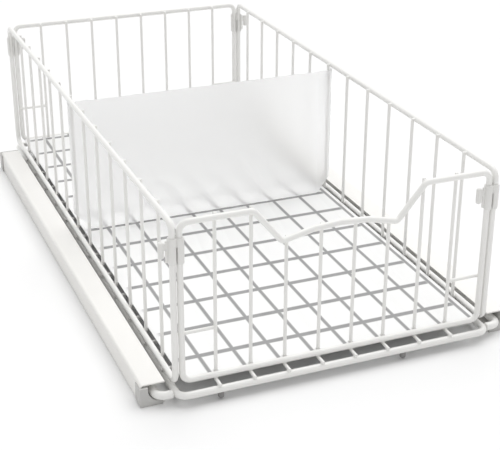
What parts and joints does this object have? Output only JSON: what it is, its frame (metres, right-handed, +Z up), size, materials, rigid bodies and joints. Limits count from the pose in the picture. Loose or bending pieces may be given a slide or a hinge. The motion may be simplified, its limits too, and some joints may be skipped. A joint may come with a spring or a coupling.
{
  "type": "pull out cabinet basket",
  "caption": "Low white wire basket with a scooped front that slides out of a cabinet on two floor rails, with a base sheet and a clip-in divider.",
  "frame": {"origin": "on the cabinet floor, in the middle of the closed product's overall box", "axes": "+Z up; the basket is pulled out towards -Y; X runs across it, left rail at -X"},
  "size_m": [0.316, 0.5576, 0.148],
  "materials": {
    "wire_white": "satin white coating on bent and welded steel wire",
    "rail_white": "satin white coating on folded sheet steel",
    "guide_grey": "moulded light grey plastic, fine matt surface",
    "clip_white": "moulded white plastic, slightly glossy",
    "roller_nylon": "natural nylon",
    "pin_steel": "zinc plated steel",
    "bumper_rubber": "matt grey rubber",
    "liner_plastic": "translucent white sheet, nearly opaque",
    "divider_plastic": "frosted translucent sheet"
  },
  "bodies": {
    "rails": {"left_rail": "rail_white", "right_rail": "rail_white", "left_front_guide": "guide_grey", "right_front_guide": "guide_grey", "left_rear_cap": "guide_grey", "right_rear_cap": "guide_grey"},
    "tray": {"base_rim": "wire_white", "base_long_wires": "wire_white", "base_cross_wires": "wire_white", "front_panel": "wire_white", "back_panel": "wire_white", "left_panel": "wire_white", "right_panel": "wire_white", "left_runner": "wire_white", "right_runner": "wire_white", "front_left_clip": "clip_white", "front_right_clip": "clip_white", "back_left_clip": "clip_white", "back_right_clip": "clip_white", "left_roller_pin": "pin_steel", "right_roller_pin": "pin_steel", "front_bumpers": "bumper_rubber", "liner": "liner_plastic", "divider": "divider_plastic"},
    "left_roller": {"left_roller": "roller_nylon"},
    "right_roller": {"right_roller": "roller_nylon"}
  },
  "joints": [
    {"name": "tray_slide", "type": "slide", "parent": "rails", "child": "tray", "axis": [0, -1, 0], "range_m": [0, 0.4219]},
    {"name": "left_roller_spin", "type": "hinge", "parent": "tray", "child": "left_roller", "pos_m": [-0.1528, 0.194, 0.00875], "axis": [1, 0, 0], "range_deg": [-3300, 3300]},
    {"name": "right_roller_spin", "type": "hinge", "parent": "tray", "child": "right_roller", "pos_m": [0.1528, 0.194, 0.00875], "axis": [1, 0, 0], "range_deg": [-3300, 3300]}
  ],
  "couplings": [
    {"joint": "left_roller_spin", "follows": "tray_slide", "rad_per_m": 133.33},
    {"joint": "right_roller_spin", "follows": "tray_slide", "rad_per_m": 133.33}
  ]
}
